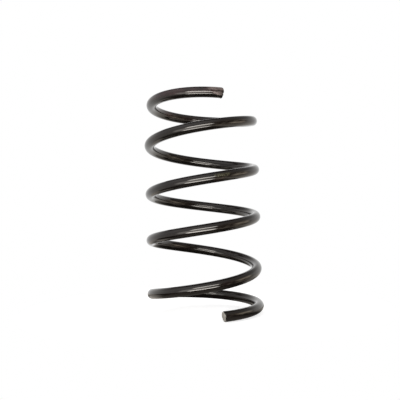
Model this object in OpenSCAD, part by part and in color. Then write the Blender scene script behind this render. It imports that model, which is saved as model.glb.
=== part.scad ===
// Suspension spring: one bar of round spring steel, wound right-handed into an open coil.
// The pitch changes along the wire, the foot springs outward and the last turn draws in.
// Both ends are sheared bars: a slanted face, well rounded above and sharp below.
// The coil's axis is Z, and the lowest point of the wire lies at Z = 0.

/* [Wire] */
// Diameter of the coated wire
wire_d = 12.5; // [9:0.5:15]
// Slant of each sheared face away from square, in degrees
shear_slant = 8; // [0:1:20]
// Rounding of a sheared face along its upper edge
upper_edge_r = 2.5; // [0.5:0.25:4]
// Rounding of a sheared face along its lower edge
lower_edge_r = 0.7; // [0.3:0.1:2]

/* [Coil] */
// Diameter of the working turns, to the centre of the wire
coil_d = 130; // [110:1:160]
// Number of turns from one sheared end to the other
turns = 5.02; // [4:0.02:7]
// Direction of the lower sheared end, in degrees from X towards Y
foot_angle = -73; // [-180:1:180]
// Outward spring of the wire at the lower end, on the radius
foot_flare = 3; // [0:0.5:6]
// Turns over which the foot comes in to the working diameter
foot_turns = 0.35; // [0.2:0.05:1]
// Inward draw of the wire at the upper end, on the radius
head_draw = 4; // [0:0.5:10]
// Turns over which the head draws in
head_turns = 1.3; // [0.5:0.1:2]

/* [Pitch] */
// Rise per turn where the wire leaves the lower end
foot_pitch = 16; // [14:1:30]
// Widest rise per turn, in the second turn
wide_pitch = 74; // [50:1:90]
// Turns from the lower end to the widest rise
wide_at = 1.35; // [1:0.05:1.5]
// Closer rise per turn just above it
close_pitch = 56; // [40:1:70]
// Turns from the lower end to the closer rise
close_at = 1.9; // [1.7:0.05:2.2]
// Rise per turn in the upper working turns
upper_pitch = 62; // [50:1:80]
// Turns from the upper end to the last of the working turns
upper_to = 1.2; // [0.9:0.1:1.5]
// Rise per turn where the head levels out
head_pitch = 38; // [30:1:45]
// Turns from the upper end to where the head levels out
head_at = 0.35; // [0.2:0.05:0.5]
// Rise per turn at the upper end, where the wire dips a little
tip_pitch = -10; // [-10:1:10]

/* [Smoothness] */
// Flat sides round the wire
sides = 24; // [12:2:24]
// Sections in each turn of the wire
sections_per_turn = 44; // [24:2:44]
// Steps round each sheared edge
edge_steps = 4; // [2:1:4]

/* [Hidden] */
wire_r = wire_d / 2;
coil_r = coil_d / 2;
// Sections along the wire, and the share of a turn that a slope is measured over
sections = ceil(turns * sections_per_turn);
slope_step = 0.001;
// Corners lie a little outside the round wire, so that the flat-sided one holds as much steel
corner_r = wire_r * sqrt(PI / (sides / 2 * sin(360 / sides)));
// Rise per turn at each place along the wire, in turns from the lower end
pitch_plan = [
    [0, foot_pitch],
    [wide_at, wide_pitch],
    [close_at, close_pitch],
    [turns - upper_to, upper_pitch],
    [turns - head_at, head_pitch],
    [turns, tip_pitch]
];

// Share of the way from 0 to 1, held outside it, with a gentle start and finish
function ease(u) = let (v = max(0, min(1, u))) v * v * (3 - 2 * v);

// Rise from the start of a span to the share u of it, while the pitch eases from a to b
function span_rise(a, b, u) = a * u + (b - a) * (pow(u, 3) - pow(u, 4) / 2);

// Height of the wire's centre above its lower end, summed over the spans that lie below
function height(t, i = 0) =
    i >= len(pitch_plan) - 1 ? 0 :
    let (
        from = pitch_plan[i],
        to = pitch_plan[i + 1],
        length = to[0] - from[0],
        share = max(0, min(1, (t - from[0]) / length))
    )
    length * span_rise(from[1], to[1], share) + height(t, i + 1);

// Distance of the wire's centre from the axis
function radius(t) =
    coil_r + foot_flare * ease(1 - t / foot_turns) - head_draw * ease(1 - (turns - t) / head_turns);

// Centre of the wire after t turns
function centre(t) =
    let (angle = foot_angle + 360 * t)
    [radius(t) * cos(angle), radius(t) * sin(angle), height(t)];

function unit(v) = v / norm(v);

// Direction of the wire after t turns
function along(t) = unit(centre(min(turns, t + slope_step)) - centre(max(0, t - slope_step)));

// Directions across the wire: out from the coil, and up
function across(t) =
    let (
        forward = along(t),
        up = unit(cross([cos(foot_angle + 360 * t), sin(foot_angle + 360 * t), 0], forward))
    )
    [cross(forward, up), up];

// One plain section of the wire, as a ring of corners
function section(t) =
    let (middle = centre(t), axes = across(t))
    [for (j = [0 : sides - 1])
        let (angle = 360 * j / sides)
        middle + corner_r * (cos(angle) * axes[0] + sin(angle) * axes[1])];

// One ring of a sheared end, rolled over by the angle turn from the bar's side to its face.
// The end faces outwards along the wire, which is backwards at the foot.
function sheared_ring(t, turn) =
    let (middle = centre(t), axes = across(t), outwards = (t == 0 ? -1 : 1) * along(t))
    [for (j = [0 : sides - 1])
        let (
            angle = 360 * j / sides,
            edge_r = lower_edge_r + (upper_edge_r - lower_edge_r) * (1 + sin(angle)) / 2,
            reach = corner_r - edge_r * (1 - cos(turn)),
            lift = reach * sin(angle) * tan(shear_slant) - edge_r * (1 - sin(turn))
        )
        middle + reach * (cos(angle) * axes[0] + sin(angle) * axes[1]) + lift * outwards];

module coil_spring() {
    edge_turns = [for (k = [0 : edge_steps]) 90 * k / edge_steps];
    rings = concat(
        [for (k = [edge_steps : -1 : 0]) sheared_ring(0, edge_turns[k])],
        [for (i = [1 : sections - 1]) section(turns * i / sections)],
        [for (k = [0 : edge_steps]) sheared_ring(turns, edge_turns[k])]
    );
    last = len(rings) - 1;
    foot_face = [for (j = [sides - 1 : -1 : 0]) j];
    head_face = [for (j = [0 : sides - 1]) last * sides + j];
    walls = [for (i = [0 : last - 1], j = [0 : sides - 1])
        let (a = i * sides + j, b = i * sides + (j + 1) % sides)
        each [[a, b, a + sides], [b, b + sides, a + sides]]];
    // The lowest corner comes to Z = 0
    lowest = min([for (ring = rings, corner = ring) corner.z]);
    color([0.13, 0.12, 0.12])
        translate([0, 0, -lowest])
            polyhedron(
                points = [for (ring = rings) each ring],
                faces = concat([foot_face], walls, [head_face]),
                convexity = 12
            );
}

coil_spring();
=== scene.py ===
import math

import bmesh
import bpy
from mathutils import Matrix, Vector, noise


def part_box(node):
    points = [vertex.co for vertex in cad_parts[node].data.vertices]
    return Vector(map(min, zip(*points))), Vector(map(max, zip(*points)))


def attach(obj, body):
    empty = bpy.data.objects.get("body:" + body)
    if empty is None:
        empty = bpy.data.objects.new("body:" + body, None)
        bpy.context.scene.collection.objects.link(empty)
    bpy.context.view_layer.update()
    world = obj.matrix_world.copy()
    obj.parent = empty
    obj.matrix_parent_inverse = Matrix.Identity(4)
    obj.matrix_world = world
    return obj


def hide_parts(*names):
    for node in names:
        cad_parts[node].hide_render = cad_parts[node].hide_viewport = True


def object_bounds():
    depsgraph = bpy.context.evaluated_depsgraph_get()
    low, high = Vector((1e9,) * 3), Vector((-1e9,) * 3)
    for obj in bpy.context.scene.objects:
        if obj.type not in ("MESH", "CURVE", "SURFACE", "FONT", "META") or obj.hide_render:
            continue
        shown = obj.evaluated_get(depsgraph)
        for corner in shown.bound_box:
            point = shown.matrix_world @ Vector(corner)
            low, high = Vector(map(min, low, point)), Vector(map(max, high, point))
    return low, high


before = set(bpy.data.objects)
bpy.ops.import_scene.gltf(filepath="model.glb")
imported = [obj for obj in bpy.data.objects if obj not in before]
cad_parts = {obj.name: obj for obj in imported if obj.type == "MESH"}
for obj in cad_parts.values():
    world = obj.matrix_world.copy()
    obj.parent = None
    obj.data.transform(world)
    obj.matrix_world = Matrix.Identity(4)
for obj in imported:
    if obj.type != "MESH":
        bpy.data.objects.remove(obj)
cad_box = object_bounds()

bl_info = {
    "name": "Suspension Spring",
    "version": (1, 0, 0),
    "blender": (4, 5, 0),
    "location": "View3D > Sidebar > Spring",
    "description": "Winds a black enamelled suspension spring and sets up its studio",
    "category": "Add Mesh",
}

MM = 0.001
CAD_NODE = "coil_spring"
BODY = "root"
# The bar's own place of each vertex, before it is wound: up, out and along, in metres
BAR_PLACE = "bar_place"
UP = Vector((0, 0, 1))


def linear(hex_colour):
    """An sRGB hex colour as linear red, green and blue."""
    channels = [int(hex_colour[i:i + 2], 16) / 255 for i in (0, 2, 4)]
    return [c / 12.92 if c <= 0.04045 else ((c + 0.055) / 1.055) ** 2.4 for c in channels]


def length(name, description, default_mm, low_mm, high_mm):
    """A property for a size that a user may change, with its default and limits in millimetres."""
    return bpy.props.FloatProperty(name=name, description=description, default=default_mm * MM,
                                   min=low_mm * MM, max=high_mm * MM, unit="LENGTH", precision=5)


def number(name, description, default, low, high):
    """A property for a plain number."""
    return bpy.props.FloatProperty(name=name, description=description, default=default,
                                   min=low, max=high)


def angle(name, description, default_degrees):
    """A property for an angle, with its default in degrees."""
    return bpy.props.FloatProperty(name=name, description=description, subtype="ANGLE",
                                   default=math.radians(default_degrees))


def lamp_stand(name, description, default_mm):
    """A property for where a lamp stands: its distance and its height, in millimetres."""
    return bpy.props.FloatVectorProperty(name=name, description=description, size=2, unit="LENGTH",
                                         default=[v * MM for v in default_mm], precision=4)


def colour(name, description, hex_colour):
    """A property for a colour, with its default as an sRGB hex value."""
    return bpy.props.FloatVectorProperty(name=name, description=description, subtype="COLOR",
                                         default=linear(hex_colour), min=0, max=1)


class SpringShape(bpy.types.PropertyGroup):
    """Sizes of the wound bar, the same as those of the solid that it stands for."""
    wire_diameter: length("Wire diameter", "Diameter of the coated wire", 12.5, 9, 15)
    skin_gap: length("Skin gap", "How far the round wire lies inside the solid's flat sides",
                     0.05, 0, 1)
    coil_diameter: length("Coil diameter", "Diameter of the working turns, to the wire's centre",
                          130, 110, 160)
    turns: number("Turns", "Turns from one sheared end to the other", 5.02, 4, 7)
    foot_angle: angle("Foot angle", "Direction of the lower sheared end", -73)
    foot_flare: length("Foot flare", "Outward spring of the wire at the lower end", 3, 0, 6)
    foot_turns: number("Foot turns", "Turns over which the foot comes in", 0.35, 0.2, 1)
    head_draw: length("Head draw", "Inward draw of the wire at the upper end", 4, 0, 10)
    head_turns: number("Head turns", "Turns over which the head draws in", 1.3, 0.5, 2)
    foot_pitch: length("Foot pitch", "Rise per turn at the lower end", 16, 14, 30)
    wide_pitch: length("Wide pitch", "Widest rise per turn", 74, 50, 90)
    wide_at: number("Wide at", "Turns from the lower end to the widest rise", 1.35, 1, 1.5)
    close_pitch: length("Close pitch", "Closer rise per turn above it", 56, 40, 70)
    close_at: number("Close at", "Turns from the lower end to the closer rise", 1.9, 1.7, 2.2)
    upper_pitch: length("Upper pitch", "Rise per turn in the upper working turns", 62, 50, 80)
    upper_to: number("Upper to", "Turns from the upper end to the last working turn", 1.2, 0.9, 1.5)
    head_pitch: length("Head pitch", "Rise per turn where the head levels out", 38, 30, 45)
    head_at: number("Head at", "Turns from the upper end to where it levels out", 0.35, 0.2, 0.5)
    tip_pitch: length("Tip pitch", "Rise per turn at the upper end, where the wire dips",
                      -10, -10, 10)
    shear_slant: angle("Shear slant", "Slant of each sheared face away from square", 8)
    upper_edge: length("Upper edge", "Rounding of a sheared face along its upper edge", 2.5, 0.5, 4)
    lower_edge: length("Lower edge", "Rounding of a sheared face along its lower edge", 0.7, 0.3, 2)
    foot_drop: length("Foot drop", "How far the bar's centre starts below the height of its radius",
                      0.03, 0, 1)
    torn_height: length("Torn height", "Height of the torn part of a sheared face", 4.6, 0, 8)
    torn_step: length("Torn step", "How far the torn part lies behind the cut part", 0.15, 0, 2)
    notch: length("Notch", "Depth of the nick between the cut and the torn part, at the head",
                  0.8, 0, 2)
    burr: length("Burr", "How far the lip under the head's end stands out", 1.0, 0, 2)


class SpringFinish(bpy.types.PropertyGroup):
    """Colours of the coat and of the sheared faces."""
    enamel: colour("Enamel", "Black stoving enamel", "120E0C")
    amber: colour("Amber", "Tint that the enamel's brown resin gives to what it mirrors", "FFF9F0")
    # A reddish cast on the bar's upper side, strongest over the head's turn
    red_cast: colour("Red cast", "Reddish cast on the upper side over the head", "3B2829")
    scuff: colour("Scuff", "Dry, rubbed enamel next to the head's sheared end", "8A7A75")
    stain: colour("Stain", "Rust-brown stain under the ink", "241B16")
    bare_steel: colour("Bare steel", "Steel that shows on the sheared faces", "C4BEB5")
    ink: colour("Ink", "Rubbed remains of an olive marking ink on the fourth turn", "4A472E")


class StudioSetup(bpy.types.PropertyGroup):
    """The camera, the lamps and the room, in the frame of the spring."""
    camera_place: bpy.props.FloatVectorProperty(
        name="Camera place", description="Where the camera stands", unit="LENGTH",
        default=(-3.48 * MM, -735.44 * MM, 122.76 * MM), precision=4)
    camera_tilt: angle("Camera tilt", "How far the camera looks up", 1.418)
    camera_roll: angle("Camera roll", "How far the camera leans to its right", 1.3146)
    lens: number("Lens", "Focal length in millimetres, on a 36 mm wide sensor", 52.93, 20, 200)
    lamp_left: length("Lamp left end", "Left end of the strip lamps", -255, -2000, 0)
    lamp_right: length("Lamp right end", "Right end of the lamps in front", 215, 0, 2000)
    lamp_depth: length("Lamp depth", "Height of each strip lamp", 150, 5, 500)
    upper_lamp: lamp_stand("Upper lamp", "Distance in front of the axis, and height", (430, 270))
    lower_lamp: lamp_stand("Lower lamp", "Distance in front of the axis, and height", (380, -45))
    upper_radiance: number("Upper radiance", "Brightness of the upper strip's middle", 12.5, 0, 100)
    lower_radiance: number("Lower radiance", "Brightness of the lower strip's middle", 14.5, 0, 100)
    lamp_fade: number("Lamp fade", "Share of a strip lamp that fades at each end", 0.18, 0, 0.5)
    soft_box: lamp_stand("Soft box", "Distance in front of the axis, and height", (450, 90))
    box_left: length("Soft box left end", "Left end of the soft box", -650, -2000, 0)
    box_depth: length("Soft box depth", "Height of the soft box", 560, 5, 2000)
    box_radiance: number("Soft box radiance", "Brightness of the soft box's middle", 1.8, 0, 100)
    box_fade: number("Soft box fade", "Share of the soft box that fades at each end", 0.3, 0, 0.5)
    side_lamp: lamp_stand("Side lamp", "Distance from the axis, and height", (420, 160))
    side_bearing: angle("Side bearing", "How far round to the right the side lamp stands", 75)
    side_width: length("Side lamp width", "Width of the side lamp", 400, 5, 2000)
    side_depth: length("Side lamp depth", "Height of the side lamp", 270, 5, 2000)
    side_radiance: number("Side radiance", "Brightness of the side lamp's middle", 1.4, 0, 100)
    side_fade: number("Side fade", "Share of the side lamp that fades at each end", 0.35, 0, 0.5)
    floor_radius: length("Floor radius", "Radius of the pale floor", 240, 100, 5000)
    floor_setback: length("Floor setback", "How far behind the axis the floor's middle lies",
                          50, 0, 500)
    floor_lift: number("Floor lift", "Light that the floor adds for the camera", 0.7, 0, 1)
    room_light: number("Room light", "Brightness of the room round the studio", 0.55, 0, 1)
    warm_side: colour("Warm side", "What the enamel mirrors to its right and below", "FFF3E1")
    cool_side: colour("Cool side", "What the enamel mirrors up on its left", "F8FAFF")


# Shape of the wire

def ease(share):
    """Share of the way from 0 to 1, held outside it, with a gentle start and finish."""
    held = min(1.0, max(0.0, share))
    return held * held * (3 - 2 * held)


def span_rise(start, end, share):
    """Rise from the start of a span to a share of it, while the pitch eases from start to end."""
    return start * share + (end - start) * (share ** 3 - share ** 4 / 2)


class WirePath:
    """The line that the wire's centre follows, in turns from the lower end."""

    SLOPE_STEP = 0.001

    def __init__(self, shape, first_height):
        self.shape = shape
        self.first_height = first_height
        self.plan = [
            (0, shape.foot_pitch),
            (shape.wide_at, shape.wide_pitch),
            (shape.close_at, shape.close_pitch),
            (shape.turns - shape.upper_to, shape.upper_pitch),
            (shape.turns - shape.head_at, shape.head_pitch),
            (shape.turns, shape.tip_pitch),
        ]

    def height(self, turn):
        """Height of the centre above the floor."""
        total = self.first_height
        for (low, low_pitch), (high, high_pitch) in zip(self.plan, self.plan[1:]):
            share = min(1.0, max(0.0, (turn - low) / (high - low)))
            total += (high - low) * span_rise(low_pitch, high_pitch, share)
        return total

    def radius(self, turn):
        """Distance of the centre from the axis."""
        shape = self.shape
        flare = shape.foot_flare * ease(1 - turn / shape.foot_turns)
        draw = shape.head_draw * ease(1 - (shape.turns - turn) / shape.head_turns)
        return shape.coil_diameter / 2 + flare - draw

    def radial(self, turn):
        """Direction from the axis to the wire."""
        bearing = self.shape.foot_angle + turn * math.tau
        return Vector((math.cos(bearing), math.sin(bearing), 0))

    def centre(self, turn):
        """Place of the wire's centre."""
        return self.radial(turn) * self.radius(turn) + UP * self.height(turn)

    def placement(self, turn):
        """Turns a flat section of the bar to its place: its X goes up, Y out and Z along."""
        after = min(self.shape.turns, turn + self.SLOPE_STEP)
        before = max(0.0, turn - self.SLOPE_STEP)
        along = (self.centre(after) - self.centre(before)).normalized()
        up = self.radial(turn).cross(along).normalized()
        out = along.cross(up)
        turned = Matrix((up, out, along)).transposed().to_4x4()
        return Matrix.Translation(self.centre(turn)) @ turned


# The bar, sheared while straight and then wound

SIDES = 64
SECTIONS_PER_TURN = 216
EDGE_STEPS = 10
FACE_RINGS = 14
# Each new ring on an end face starts this share of the radius further in, before it is shaped
RING_INSET = 0.005
# The torn part of a sheared face: depth and size of its grains; how fast their octaves fade, how
# much finer each one is and how many there are; the share of the radius over which the grains
# rise from the rim; and the width of the step above them
GRAIN_DEPTH = 0.1 * MM
GRAIN_SIZE = 1.6 * MM
GRAIN_OCTAVES = 0.7, 2.1, 4
GRAIN_START = 0.2
STEP_WIDTH = 0.7 * MM
# Half the height of the nick at the head, and how far round the foot's edge the steel is bare
NOTCH_HALF = 0.9 * MM
BARE_ROLL = math.radians(40)
# The burr under the head's end runs back along this length of the bar, and starts this share of
# the way from the bar's middle to its underside
BURR_LENGTH = 3.5 * MM
BURR_TOP = 0.5
# Vertices whose places along the bar agree to this many digits share a section
SECTION_DIGITS = 7


def straight_bar(bm, radius, bar_length, sections):
    """A straight round bar along Z from 0, cut into sections, with its two end faces."""
    bmesh.ops.create_cone(bm, cap_ends=True, segments=SIDES, radius1=radius, radius2=radius,
                          depth=bar_length,
                          matrix=Matrix.Translation((0, 0, bar_length / 2)))
    long_edges = [e for e in bm.edges if abs(e.verts[0].co.z - e.verts[1].co.z) > bar_length / 2]
    bmesh.ops.subdivide_edges(bm, edges=long_edges, cuts=sections - 1)
    caps = [f for f in bm.faces if len(f.verts) == SIDES]
    return sorted(caps, key=lambda face: face.calc_center_median().z)


def shear_end(bm, cap, shape, radius, end, outwards):
    """Rolls the rim of an end over and slants its face. The blade cut the upper part of the face;
    the lower part tore away, so it lies a step further back and is rough. The head has a nick
    between the two, and at the foot the sheared steel reaches round the edge."""
    slant = math.tan(shape.shear_slant)
    torn_top = shape.torn_height - radius

    def shape_vert(vert, roll, share):
        around = math.atan2(vert.co.x, vert.co.y)
        upness = math.sin(around)
        edge = shape.lower_edge + (shape.upper_edge - shape.lower_edge) * (1 + upness) / 2
        reach = (radius - edge * (1 - math.cos(roll))) * share
        up, out = reach * upness, reach * math.cos(around)
        lift = up * slant - edge * (1 - math.sin(roll))
        torn = ease((torn_top - up) / STEP_WIDTH)
        grain = noise.fractal(Vector((up, out, end)) / GRAIN_SIZE, *GRAIN_OCTAVES)
        lift -= torn * (shape.torn_step + GRAIN_DEPTH * grain * ease((1 - share) / GRAIN_START))
        if outwards > 0:
            lift -= shape.notch * ease(1 - abs(up - torn_top) / NOTCH_HALF)
        vert.co = (up, out, end + outwards * lift)

    for vert in cap.verts:
        shape_vert(vert, 0, 1)
    rings = [(math.pi / 2 * (k + 1) / EDGE_STEPS, 1) for k in range(EDGE_STEPS)]
    rings += [(math.pi / 2, 1 - (k + 1) / (FACE_RINGS + 1)) for k in range(FACE_RINGS)]
    face_polygons = []
    for roll, share in rings:
        walls = bmesh.ops.inset_individual(bm, faces=[cap], thickness=radius * RING_INSET)["faces"]
        for vert in cap.verts:
            shape_vert(vert, roll, share)
        if share < 1 or (outwards < 0 and roll > BARE_ROLL):
            face_polygons += walls
    face_polygons += bmesh.ops.poke(bm, faces=[cap])["faces"]
    for polygon in face_polygons:
        polygon.material_index = 1


def raise_burr(bm, shape, radius, end):
    """Draws the lower edge next to the head's end down into a thin lip."""
    for vert in bm.verts:
        near = ease(1 - (end - vert.co.z) / BURR_LENGTH)
        below = ease((-vert.co.x / radius - BURR_TOP) / (1 - BURR_TOP))
        vert.co.x -= shape.burr * near * near * below


def wind(bm, path, bar_length):
    """Winds the straight bar into its coil. What stands past an end goes straight on."""
    bar_place = bm.verts.layers.float_vector.new(BAR_PLACE)
    placements = {}
    for vert in bm.verts:
        vert[bar_place] = vert.co
        held = min(bar_length, max(0.0, vert.co.z))
        section = round(held, SECTION_DIGITS)
        if section not in placements:
            placements[section] = path.placement(path.shape.turns * held / bar_length)
        vert.co = placements[section] @ Vector((vert.co.x, vert.co.y, vert.co.z - held))


class SPRING_OT_wind_bar(bpy.types.Operator):
    """Make the straight bar, shear its ends and wind it into the coil"""
    bl_idname = "spring.wind_bar"
    bl_label = "Wind Bar"
    bl_options = {"REGISTER", "UNDO"}

    def execute(self, context):
        shape = context.scene.spring_shape
        radius = shape.wire_diameter / 2 - shape.skin_gap
        floor_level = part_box(CAD_NODE)[0].z
        path = WirePath(shape, floor_level + shape.wire_diameter / 2 - shape.foot_drop)
        bar_length = math.pi * shape.coil_diameter * shape.turns
        sections = math.ceil(shape.turns * SECTIONS_PER_TURN)
        bm = bmesh.new()
        foot, head = straight_bar(bm, radius, bar_length, sections)
        shear_end(bm, foot, shape, radius, 0, -1)
        shear_end(bm, head, shape, radius, bar_length, 1)
        raise_burr(bm, shape, radius, bar_length)
        wind(bm, path, bar_length)
        bmesh.ops.recalc_face_normals(bm, faces=bm.faces)
        mesh = bpy.data.meshes.new("wound_bar")
        bm.to_mesh(mesh)
        bm.free()
        mesh.shade_smooth()
        bar = bpy.data.objects.new("wound_bar", mesh)
        context.scene.collection.objects.link(bar)
        finish = context.scene.spring_finish
        mesh.materials.append(stoved_enamel(finish, shape, bar_length))
        mesh.materials.append(sheared_steel(finish))
        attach(bar, BODY)
        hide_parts(CAD_NODE)
        return {"FINISHED"}


# Nodes

# Settings that several nodes share
SMOOTH = {"interpolation_type": "SMOOTHSTEP"}
POINT = {"vector_type": "POINT"}
MIX_COLOURS = {"data_type": "RGBA"}
MIX_NUMBERS = {"data_type": "FLOAT"}
ADD = {"operation": "ADD"}
SUBTRACT = {"operation": "SUBTRACT"}
MULTIPLY = {"operation": "MULTIPLY"}
MULTIPLY_ADD = {"operation": "MULTIPLY_ADD"}
MAXIMUM = {"operation": "MAXIMUM"}
WHITE = linear("FFFFFF")


def new_material(name):
    """An empty node material and its node tree."""
    material = bpy.data.materials.new(name)
    material.use_nodes = True
    material.node_tree.nodes.clear()
    return material, material.node_tree


def add(tree, kind, settings=None, **inputs):
    """Adds a node. Settings are its own attributes; inputs are values, or sockets to link.
    An input's key is its name with _ for a space, or i and its number."""
    node = tree.nodes.new(kind)
    for key, value in (settings or {}).items():
        setattr(node, key, value)
    for key, value in inputs.items():
        numbered = key[0] == "i" and key[1:].isdigit()
        socket = node.inputs[int(key[1:]) if numbered else key.replace("_", " ")]
        if isinstance(value, bpy.types.NodeSocket):
            tree.links.new(value, socket)
        elif socket.type == "RGBA":
            socket.default_value = (*value, 1)
        else:
            socket.default_value = value
    return node


def within(tree, value, low, high, soft, mask=1):
    """Nodes that pass a mask on between two values of something, and fade it to 0 outside them."""
    off = add(tree, "ShaderNodeMath", SUBTRACT, i0=value, i1=(low + high) / 2)
    away = add(tree, "ShaderNodeMath", {"operation": "ABSOLUTE"}, i0=off.outputs["Value"])
    half = (high - low) / 2
    return add(tree, "ShaderNodeMapRange", SMOOTH, Value=away.outputs["Value"], From_Min=half,
               From_Max=half + soft, To_Min=mask, To_Max=0).outputs["Result"]


def towards(tree, direction, way, low, high, start=0, end=1):
    """Nodes that go from start to end as a direction turns towards a given way. Low and high are
    the cosines, between the direction and that way, at which they leave start and reach end."""
    facing = add(tree, "ShaderNodeVectorMath", {"operation": "DOT_PRODUCT"}, i0=direction,
                 i1=Vector(way).normalized())
    return add(tree, "ShaderNodeMapRange", SMOOTH, Value=facing.outputs["Value"], From_Min=low,
               From_Max=high, To_Min=start, To_Max=end).outputs["Result"]


# Stoved enamel. All of it follows the bar's own place: up, out and along

ENAMEL_IOR = 1.6
# Roughness of glossy enamel at its smoothest and at its dullest, and of enamel that is rubbed
GLOSSY, SILKY, DULL = 0.05, 0.12, 0.5
# How far ragged borders wander up, out and along
WANDER = 3 * MM, 3 * MM, 8 * MM
# How far the rubbed wedge's lower edge rises for each millimetre away from the head's end
WEDGE_TAPER = 0.5


def ragged_borders(tree, place):
    """The bar's place shifted here and there by a millimetre or so, for ragged borders."""
    shreds = add(tree, "ShaderNodeTexNoise", Vector=place, Scale=1 / (3 * MM), Detail=3,
                 Roughness=0.6).outputs["Color"]
    shifts = add(tree, "ShaderNodeVectorMath", SUBTRACT, i0=shreds,
                 i1=(0.5, 0.5, 0.5)).outputs["Vector"]
    ragged = add(tree, "ShaderNodeVectorMath", MULTIPLY_ADD, i0=shifts, i1=WANDER,
                 i2=place).outputs["Vector"]
    return add(tree, "ShaderNodeSeparateXYZ", Vector=ragged).outputs


def upper_red_cast(tree, place, bar, head):
    """Where a cloudy reddish cast lies: over the last turn, with traces of it further down."""
    clouds = add(tree, "ShaderNodeTexNoise", Vector=place, Scale=1 / (14 * MM), Detail=3,
                 Roughness=0.55).outputs["Fac"]
    share = add(tree, "ShaderNodeMapRange", Value=bar["Z"], From_Min=head - 260 * MM,
                From_Max=head - 150 * MM, To_Min=0.1, To_Max=1.0).outputs["Result"]
    cast = add(tree, "ShaderNodeMapRange", Value=clouds, From_Min=0.3, From_Max=0.6,
               To_Max=share).outputs["Result"]
    return within(tree, bar["X"], -1 * MM, 8 * MM, soft=2.5 * MM, mask=cast)


def ink_and_stain(tree, place, bar, ragged, mark):
    """Where flakes of a marking ink are left on the bar's outside, and a brown stain below."""
    outside = within(tree, bar["Y"], 1 * MM, 9 * MM, soft=1 * MM)
    flakes = add(tree, "ShaderNodeTexNoise", Vector=place, Scale=1 / (2.4 * MM), Detail=4,
                 Roughness=0.7).outputs["Fac"]
    ink = add(tree, "ShaderNodeMapRange", Value=flakes, From_Min=0.36, From_Max=0.66,
              To_Max=outside).outputs["Result"]
    ink = within(tree, ragged["X"], 0.2 * MM, 2.6 * MM, soft=1 * MM, mask=ink)
    ink = within(tree, ragged["Z"], mark - 4 * MM, mark + 9 * MM, soft=3 * MM, mask=ink)
    stain = within(tree, ragged["X"], -4 * MM, -1.6 * MM, soft=1 * MM, mask=outside)
    stain = within(tree, ragged["Z"], mark - 6 * MM, mark + 1 * MM, soft=3 * MM, mask=stain)
    return ink, stain


def rubbed_patches(tree, place, ragged, head):
    """Where the enamel is rubbed dry next to the head's end, in streaks drawn along the bar:
    along the top, and in a wedge on the sides that narrows away from the end."""
    up, along = ragged["X"], ragged["Z"]
    crown = within(tree, up, 2.6 * MM, 8 * MM, soft=2 * MM)
    crown = within(tree, along, head - 14 * MM, head - 1 * MM, soft=9 * MM, mask=crown)
    tapered = add(tree, "ShaderNodeMath", MULTIPLY_ADD, i0=along, i1=WEDGE_TAPER, i2=up)
    wedge = add(tree, "ShaderNodeMapRange", SMOOTH, Value=tapered.outputs["Value"],
                From_Min=head * WEDGE_TAPER - 9 * MM,
                From_Max=head * WEDGE_TAPER - 7.5 * MM).outputs["Result"]
    wedge = within(tree, up, -3.2 * MM, -1.1 * MM, soft=1.5 * MM, mask=wedge)
    wedge = within(tree, along, head - 10 * MM, head - 7.5 * MM, soft=7 * MM, mask=wedge)
    patches = add(tree, "ShaderNodeMath", MAXIMUM, i0=crown, i1=wedge).outputs["Value"]
    drawn_out = add(tree, "ShaderNodeMapping", POINT, Vector=place,
                    Scale=(1, 1, 0.12)).outputs["Vector"]
    streaks = add(tree, "ShaderNodeTexNoise", Vector=drawn_out, Scale=1 / (1.5 * MM), Detail=2,
                  Roughness=0.5).outputs["Fac"]
    return add(tree, "ShaderNodeMapRange", Value=streaks, From_Min=0.25, From_Max=0.48,
               To_Max=patches).outputs["Result"]


def enamel_roughness(tree, place, ragged, head, marks):
    """Gloss that varies from patch to patch, gone where there are marks and partly gone on the
    head's end, where hands have been."""
    clouds = add(tree, "ShaderNodeTexNoise", Vector=place, Scale=1 / (9 * MM), Detail=3,
                 Roughness=0.6).outputs["Fac"]
    gloss = add(tree, "ShaderNodeMapRange", Value=clouds, From_Min=0.3, From_Max=0.7,
                To_Min=GLOSSY, To_Max=SILKY).outputs["Result"]
    dull = add(tree, "ShaderNodeMapRange", SMOOTH, Value=ragged["Z"], From_Min=head - 15 * MM,
               From_Max=head - 5 * MM, To_Max=0.6).outputs["Result"]
    for mark in marks:
        dull = add(tree, "ShaderNodeMath", MAXIMUM, i0=dull, i1=mark).outputs["Value"]
    return add(tree, "ShaderNodeMix", MIX_NUMBERS, i0=dull, i2=gloss, i3=DULL).outputs[0]


def enamel_relief(tree, place):
    """Waves drawn out along the bar as the enamel ran, and a fine orange peel."""
    drawn_out = add(tree, "ShaderNodeMapping", POINT, Vector=place,
                    Scale=(1, 1, 0.06)).outputs["Vector"]
    runs = add(tree, "ShaderNodeTexNoise", Vector=drawn_out, Scale=1 / (3 * MM), Detail=1,
               Roughness=0.5).outputs["Fac"]
    peel = add(tree, "ShaderNodeTexNoise", Vector=place, Scale=1 / (2.2 * MM), Detail=2,
               Roughness=0.5).outputs["Fac"]
    run_bump = add(tree, "ShaderNodeBump", Height=runs, Distance=0.05 * MM, Strength=1)
    peel_bump = add(tree, "ShaderNodeBump", Height=peel, Distance=0.003 * MM, Strength=1,
                    Normal=run_bump.outputs["Normal"])
    return peel_bump.outputs["Normal"]


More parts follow.
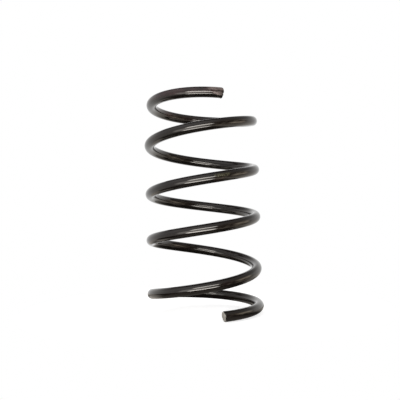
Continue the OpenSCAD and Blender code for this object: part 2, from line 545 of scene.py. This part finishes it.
def stoved_enamel(finish, shape, bar_length):
    """Black japan, stoved on shot-peened spring steel: brown-black and glossy, drawn into long
    waves as it ran, reddish on its upper side over the head, and dry where it is rubbed."""
    material, tree = new_material("black_stoving_enamel")
    place = add(tree, "ShaderNodeAttribute", {"attribute_name": BAR_PLACE}).outputs["Vector"]
    bar = add(tree, "ShaderNodeSeparateXYZ", Vector=place).outputs
    ragged = ragged_borders(tree, place)
    fourth_turn = 3 * bar_length / shape.turns
    cast = upper_red_cast(tree, place, bar, bar_length)
    ink, stain = ink_and_stain(tree, place, bar, ragged, fourth_turn)
    rubbed = rubbed_patches(tree, place, ragged, bar_length)
    body_colour = finish.enamel
    for mask, tint in ((cast, finish.red_cast), (ink, finish.ink), (stain, finish.stain),
                       (rubbed, finish.scuff)):
        body_colour = add(tree, "ShaderNodeMix", MIX_COLOURS, i0=mask, i6=body_colour,
                          i7=tint).outputs[2]
    roughness = enamel_roughness(tree, place, ragged, bar_length, (rubbed, ink))
    shader = add(tree, "ShaderNodeBsdfPrincipled", Base_Color=body_colour, Roughness=roughness,
                 IOR=ENAMEL_IOR, Specular_Tint=finish.amber, Normal=enamel_relief(tree, place))
    add(tree, "ShaderNodeOutputMaterial", Surface=shader.outputs["BSDF"])
    return material


# Sheared steel

def sheared_steel(finish):
    """Spring steel cut by a shear blade: pale grey and dry, scored downwards where the blade cut
    and grainy where it tore, with a breath of enamel in the grain."""
    material, tree = new_material("sheared_spring_steel")
    place = add(tree, "ShaderNodeAttribute", {"attribute_name": BAR_PLACE}).outputs["Vector"]
    strokes = add(tree, "ShaderNodeMapping", POINT, Vector=place,
                  Scale=(0.08, 1, 1)).outputs["Vector"]
    scored = add(tree, "ShaderNodeTexNoise", Vector=strokes, Scale=1 / (0.35 * MM), Detail=3,
                 Roughness=0.6).outputs["Fac"]
    grain = add(tree, "ShaderNodeTexNoise", Vector=place, Scale=1 / (0.8 * MM), Detail=4,
                Roughness=0.65).outputs["Fac"]
    bare = add(tree, "ShaderNodeMapRange", Value=grain, From_Min=0.34, From_Max=0.5,
               To_Min=0.94, To_Max=1).outputs["Result"]
    face_colour = add(tree, "ShaderNodeMix", MIX_COLOURS, i0=bare, i6=finish.enamel,
                      i7=finish.bare_steel).outputs[2]
    bump = add(tree, "ShaderNodeBump", Height=scored, Distance=0.02 * MM, Strength=0.7)
    shader = add(tree, "ShaderNodeBsdfPrincipled", Base_Color=face_colour, Metallic=0.4,
                 Roughness=0.6, Normal=bump.outputs["Normal"])
    add(tree, "ShaderNodeOutputMaterial", Surface=shader.outputs["BSDF"])
    return material


# Floor

# The sheet itself, and its warmer look in the enamel
LAMINATE = linear("E6E6E6")
MIRRORED_LAMINATE = linear("FFF8EF")
# Brightness of the floor that the enamel mirrors, where it is dimmest
NEAR_GLOW = 0.04
# Pale patches close to the lowest turn, by its left side, by its right side and inside it: where
# each lies, its radius, and its brightness
FLOOR_PATCHES = (
    ((-98 * MM, 12 * MM, 0), 70 * MM, 0.8),
    ((113 * MM, 8 * MM, 0), 62 * MM, 0.55),
    ((46 * MM, 50 * MM, 0), 22 * MM, 0.3),
)
# Share of the radius of a patch over which it is evenly bright
EVEN_SHARE = 0.36


def mirrored_floor(tree):
    """How bright the floor is that the enamel mirrors: pale behind and on the right, less so
    straight behind, and dim near the spring and in front of it, but for a few paler spots."""
    where = add(tree, "ShaderNodeTexCoord").outputs["Object"]
    axes = add(tree, "ShaderNodeSeparateXYZ", Vector=where).outputs
    oval = add(tree, "ShaderNodeMapping", POINT, Vector=where, Scale=(1.25, 1, 0))
    reach = add(tree, "ShaderNodeVectorMath", {"operation": "LENGTH"}, i0=oval.outputs["Vector"])
    middle = within(tree, axes["X"], -80 * MM, 80 * MM, soft=80 * MM)
    far = add(tree, "ShaderNodeMapRange", Value=middle, To_Min=0.9, To_Max=0.4).outputs["Result"]
    far = add(tree, "ShaderNodeMapRange", SMOOTH, Value=reach.outputs["Value"],
              From_Min=100 * MM, From_Max=250 * MM, To_Max=far).outputs["Result"]
    behind = add(tree, "ShaderNodeMapRange", SMOOTH, Value=axes["Y"], From_Min=-20 * MM,
                 From_Max=50 * MM, To_Max=far).outputs["Result"]
    right = add(tree, "ShaderNodeMapRange", SMOOTH, Value=axes["X"], From_Min=130 * MM,
                From_Max=200 * MM, To_Max=far).outputs["Result"]
    in_front = within(tree, axes["Y"], -100 * MM, -40 * MM, soft=30 * MM, mask=0.25)
    in_front = within(tree, axes["X"], -60 * MM, 30 * MM, soft=50 * MM, mask=in_front)
    patches = [right, in_front]
    for spot, radius, brightness in FLOOR_PATCHES:
        away = add(tree, "ShaderNodeVectorMath", {"operation": "DISTANCE"}, i0=where, i1=spot)
        patch = add(tree, "ShaderNodeMapRange", SMOOTH, Value=away.outputs["Value"],
                    From_Min=EVEN_SHARE * radius, From_Max=radius, To_Min=brightness, To_Max=0)
        patches.append(patch.outputs["Result"])
    pale = behind
    for patch in patches:
        pale = add(tree, "ShaderNodeMath", MAXIMUM, i0=pale, i1=patch).outputs["Value"]
    return add(tree, "ShaderNodeMath", ADD, i0=pale, i1=NEAR_GLOW).outputs["Value"]


def white_laminate(setup):
    """Matt white laminate. It reads white to the camera and keeps the spring's soft shadow. The
    enamel mirrors a map of paler and dimmer parts in its place."""
    material, tree = new_material("white_laminate")
    rays = add(tree, "ShaderNodeLightPath").outputs
    sheet = add(tree, "ShaderNodeBsdfDiffuse", Color=LAMINATE)
    shown = add(tree, "ShaderNodeMath", MAXIMUM, i0=rays["Is Camera Ray"],
                i1=rays["Is Transmission Ray"]).outputs["Value"]
    lift = add(tree, "ShaderNodeMath", MULTIPLY, i0=shown, i1=setup.floor_lift)
    glow = add(tree, "ShaderNodeEmission", Strength=lift.outputs["Value"])
    lit = add(tree, "ShaderNodeAddShader", i0=sheet.outputs["BSDF"], i1=glow.outputs["Emission"])
    mirrored = add(tree, "ShaderNodeEmission", Color=MIRRORED_LAMINATE,
                   Strength=mirrored_floor(tree))
    both = add(tree, "ShaderNodeMixShader", i0=rays["Is Glossy Ray"], i1=lit.outputs["Shader"],
               i2=mirrored.outputs["Emission"])
    add(tree, "ShaderNodeOutputMaterial", Surface=both.outputs["Shader"])
    return material


# The room that the enamel mirrors. Each way is a direction from the spring

BACK_WALL = (-0.05, 1, 0)
OPEN_CORNER = (0.49, -0.85, 0.2)
SHELVES = (0.87, -0.5, 0)
FAR_BENCH = (0.45, 0.9, 0)
BRIGHT_CEILING = (-0.5, -0.6, 0.7)
COOL_WAY = (-0.6, -0.5, 0.6)
WARM_WAY = (0.45, 0, -0.9)
# Heights on a sphere of radius 1: where the bench gives way to the walls and the walls to the
# ceiling, and from where to where the lower shelf and the bench's edge reach
BENCH_TO_WALLS = -0.77, -0.45
WALLS_TO_CEILING = 0.32, 0.74
LOWER_SHELF = -0.6, -0.42
BENCH_EDGE = -0.71, -0.65
# Brightness of the bench and of the ceiling straight behind the spring
DARK_BEHIND = 0.1
# Brightness of the bench's edge under the shelves
EDGE_GLOW = 1.5


def mirrored_walls(tree, direction, height, beside):
    """How bright the walls are: white behind, dimmer in front, with an open corner in front on
    the right, and dim shelves next to it with light and dark things on them."""
    walls = towards(tree, direction, BACK_WALL, low=-0.3, high=0.75, start=0.64, end=1.05)
    walls = towards(tree, direction, OPEN_CORNER, low=0.65, high=0.95, start=walls, end=0.4)
    shelf = within(tree, height, *LOWER_SHELF, soft=0.1)
    shelves = add(tree, "ShaderNodeMath", MULTIPLY_ADD, i0=shelf, i1=0.45, i2=0.45)
    clutter = add(tree, "ShaderNodeTexNoise", Vector=direction, Scale=5, Detail=3, Roughness=0.6)
    things = add(tree, "ShaderNodeMapRange", Value=clutter.outputs["Fac"], From_Min=0.44,
                 From_Max=0.64, To_Min=0.3, To_Max=3.2)
    filled = add(tree, "ShaderNodeMath", MULTIPLY, i0=shelves.outputs["Value"],
                 i1=things.outputs["Result"])
    share = add(tree, "ShaderNodeMix", MIX_NUMBERS, i0=beside, i2=1, i3=filled.outputs["Value"])
    return add(tree, "ShaderNodeMath", MULTIPLY, i0=walls, i1=share.outputs[0]).outputs["Value"]


def mirrored_room(tree, direction, beside):
    """How bright the room is, from a bench below with a lit edge, past the walls, to the
    ceiling. Straight behind the spring the bench and the ceiling are dark."""
    axes = add(tree, "ShaderNodeSeparateXYZ", Vector=direction).outputs
    height = axes["Z"]
    behind = within(tree, axes["X"], -0.15, 0.15, soft=0.25)
    behind = add(tree, "ShaderNodeMapRange", SMOOTH, Value=axes["Y"], From_Min=0, From_Max=0.3,
                 To_Max=behind).outputs["Result"]
    bench = towards(tree, direction, FAR_BENCH, low=-0.3, high=0.3, start=0.15, end=0.75)
    bench = add(tree, "ShaderNodeMix", MIX_NUMBERS, i0=behind, i2=bench, i3=DARK_BEHIND)
    ceiling = towards(tree, direction, BRIGHT_CEILING, low=0.5, high=1, start=0.32, end=0.85)
    ceiling = add(tree, "ShaderNodeMix", MIX_NUMBERS, i0=behind, i2=ceiling, i3=DARK_BEHIND)
    walls = mirrored_walls(tree, direction, height, beside)
    room = add(tree, "ShaderNodeMapRange", SMOOTH, Value=height, From_Min=BENCH_TO_WALLS[0],
               From_Max=BENCH_TO_WALLS[1], To_Min=bench.outputs[0],
               To_Max=walls).outputs["Result"]
    room = add(tree, "ShaderNodeMapRange", SMOOTH, Value=height, From_Min=WALLS_TO_CEILING[0],
               From_Max=WALLS_TO_CEILING[1], To_Min=room,
               To_Max=ceiling.outputs[0]).outputs["Result"]
    edge = add(tree, "ShaderNodeMath", MULTIPLY, i0=beside, i1=EDGE_GLOW).outputs["Value"]
    edge = within(tree, height, *BENCH_EDGE, soft=0.05, mask=edge)
    return add(tree, "ShaderNodeMath", ADD, i0=room, i1=edge).outputs["Value"]


def room_tint(tree, direction, beside, setup):
    """The colour of the room: cool up on the left, warm on the right and below."""
    cool = towards(tree, direction, COOL_WAY, low=0.3, high=0.9)
    tint = add(tree, "ShaderNodeMix", MIX_COLOURS, i0=cool, i6=WHITE, i7=setup.cool_side)
    below = towards(tree, direction, WARM_WAY, low=0.1, high=0.9, end=0.5)
    warm = add(tree, "ShaderNodeMath", MAXIMUM, i0=beside, i1=below).outputs["Value"]
    return add(tree, "ShaderNodeMix", MIX_COLOURS, i0=warm, i6=tint.outputs[2],
               i7=setup.warm_side).outputs[2]


def studio_world(setup):
    """A white backdrop for the camera, even light for matt surfaces, and a room with walls, a
    bench, shelves and a ceiling for glossy ones to mirror."""
    world = bpy.data.worlds.new("studio")
    world.use_nodes = True
    tree = world.node_tree
    tree.nodes.clear()
    rays = add(tree, "ShaderNodeLightPath").outputs
    direction = add(tree, "ShaderNodeTexCoord").outputs["Generated"]
    beside = towards(tree, direction, SHELVES, low=0.58, high=0.88)
    mirrored = add(tree, "ShaderNodeMath", MAXIMUM, i0=rays["Is Glossy Ray"],
                   i1=rays["Is Transmission Ray"]).outputs["Value"]
    room = add(tree, "ShaderNodeMix", MIX_NUMBERS, i0=mirrored, i2=setup.room_light,
               i3=mirrored_room(tree, direction, beside))
    strength = add(tree, "ShaderNodeMix", MIX_NUMBERS, i0=rays["Is Camera Ray"],
                   i2=room.outputs[0], i3=1)
    tint = add(tree, "ShaderNodeMix", MIX_COLOURS, i0=mirrored, i6=WHITE,
               i7=room_tint(tree, direction, beside, setup))
    light = add(tree, "ShaderNodeBackground", Color=tint.outputs[2], Strength=strength.outputs[0])
    add(tree, "ShaderNodeOutputWorld", Surface=light.outputs["Background"])
    return world


# Studio

SENSOR_WIDTH_MM = 36
FLOOR_SIDES = 128


def fade_lamp(data, end_fade):
    """Makes a lamp's face bright in its middle and soft towards its edges."""
    data.use_nodes = True
    tree = data.node_tree
    tree.nodes.clear()
    face = add(tree, "ShaderNodeNewGeometry").outputs["Parametric"]
    across = add(tree, "ShaderNodeSeparateXYZ", Vector=face).outputs
    upright = within(tree, across["Y"], 0.5, 0.5, soft=0.5)
    glow = within(tree, across["X"], end_fade, 1 - end_fade, soft=end_fade, mask=upright)
    emission = add(tree, "ShaderNodeEmission", Strength=glow)
    add(tree, "ShaderNodeOutputLight", Surface=emission.outputs["Emission"])


def add_lamp(scene, name, ends, distance_and_height, depth, radiance, end_fade, bearing=0):
    """A wide soft lamp that faces the spring, in front of it or turned round it to the right by
    a bearing. The camera doesn't see it."""
    data = bpy.data.lights.new(name, "AREA")
    data.shape = "RECTANGLE"
    data.size = ends[1] - ends[0]
    data.size_y = depth
    fade_lamp(data, end_fade)
    # An area lamp's face has this radiance when its power is pi times its area times that
    data.energy = radiance * math.pi * data.size * data.size_y
    lamp = bpy.data.objects.new(name, data)
    distance, height = distance_and_height
    facing = Matrix.Rotation(math.pi / 2, 4, "X")
    at = Matrix.Translation((sum(ends) / 2, -distance, height))
    lamp.matrix_world = Matrix.Rotation(bearing, 4, "Z") @ at @ facing
    lamp.visible_camera = False
    scene.collection.objects.link(lamp)
    return lamp


class SPRING_OT_set_stage(bpy.types.Operator):
    """Lay the pale floor and set up the camera, the lamps and the white backdrop"""
    bl_idname = "spring.set_stage"
    bl_label = "Set Stage"
    bl_options = {"REGISTER", "UNDO"}

    def execute(self, context):
        scene = context.scene
        setup = scene.spring_studio
        self.lay_floor(scene, setup)
        self.place_camera(scene, setup)
        self.hang_lamps(scene, setup)
        scene.world = studio_world(setup)
        scene.view_settings.view_transform = "Standard"
        return {"FINISHED"}

    def lay_floor(self, scene, setup):
        """A round pale floor that the spring stands on."""
        floor_level = cad_box[0][2]
        centre = 0, setup.floor_setback, floor_level
        bm = bmesh.new()
        bmesh.ops.create_circle(bm, cap_ends=True, segments=FLOOR_SIDES,
                                radius=setup.floor_radius, matrix=Matrix.Translation(centre))
        mesh = bpy.data.meshes.new("floor")
        bm.to_mesh(mesh)
        bm.free()
        mesh.materials.append(white_laminate(setup))
        floor = bpy.data.objects.new("floor", mesh)
        scene.collection.objects.link(floor)

    def place_camera(self, scene, setup):
        """The camera looks along Y, a little up, and leans a little."""
        data = bpy.data.cameras.new("camera")
        data.lens = setup.lens
        data.sensor_width = SENSOR_WIDTH_MM
        camera = bpy.data.objects.new("camera", data)
        tilted = Matrix.Rotation(math.pi / 2 + setup.camera_tilt, 4, "X")
        leaning = Matrix.Rotation(-setup.camera_roll, 4, "Z")
        camera.matrix_world = Matrix.Translation(setup.camera_place) @ tilted @ leaning
        scene.collection.objects.link(camera)
        scene.camera = camera

    def hang_lamps(self, scene, setup):
        """Two strips above and below the spring's middle, a soft box, and a warm side lamp."""
        strip_ends = setup.lamp_left, setup.lamp_right
        upper = add_lamp(scene, "upper_strip_lamp", strip_ends, setup.upper_lamp,
                         setup.lamp_depth, setup.upper_radiance, setup.lamp_fade)
        lower = add_lamp(scene, "lower_strip_lamp", strip_ends, setup.lower_lamp,
                         setup.lamp_depth, setup.lower_radiance, setup.lamp_fade)
        # The strips only make the gloss. The other lamps and the room give colours their level
        upper.visible_diffuse = False
        lower.visible_diffuse = False
        add_lamp(scene, "soft_box", (setup.box_left, setup.lamp_right), setup.soft_box,
                 setup.box_depth, setup.box_radiance, setup.box_fade)
        side_ends = -setup.side_width / 2, setup.side_width / 2
        side = add_lamp(scene, "side_lamp", side_ends, setup.side_lamp, setup.side_depth,
                        setup.side_radiance, setup.side_fade, setup.side_bearing)
        side.data.color = setup.warm_side


class SPRING_PT_panel(bpy.types.Panel):
    """Sizes, colours and steps of the spring"""
    bl_idname = "SPRING_PT_panel"
    bl_label = "Suspension Spring"
    bl_space_type = "VIEW_3D"
    bl_region_type = "UI"
    bl_category = "Spring"

    def draw(self, context):
        for group in (context.scene.spring_shape, context.scene.spring_finish,
                      context.scene.spring_studio):
            box = self.layout.box()
            for name in group.__annotations__:
                box.prop(group, name)
        self.layout.operator(SPRING_OT_wind_bar.bl_idname)
        self.layout.operator(SPRING_OT_set_stage.bl_idname)


CLASSES = (SpringShape, SpringFinish, StudioSetup, SPRING_OT_wind_bar, SPRING_OT_set_stage,
           SPRING_PT_panel)


def register():
    for cls in CLASSES:
        bpy.utils.register_class(cls)
    bpy.types.Scene.spring_shape = bpy.props.PointerProperty(type=SpringShape)
    bpy.types.Scene.spring_finish = bpy.props.PointerProperty(type=SpringFinish)
    bpy.types.Scene.spring_studio = bpy.props.PointerProperty(type=StudioSetup)


def unregister():
    del bpy.types.Scene.spring_studio
    del bpy.types.Scene.spring_finish
    del bpy.types.Scene.spring_shape
    for cls in reversed(CLASSES):
        bpy.utils.unregister_class(cls)


def main():
    register()
    bpy.ops.spring.wind_bar()
    bpy.ops.spring.set_stage()


if __name__ == "__main__":
    main()
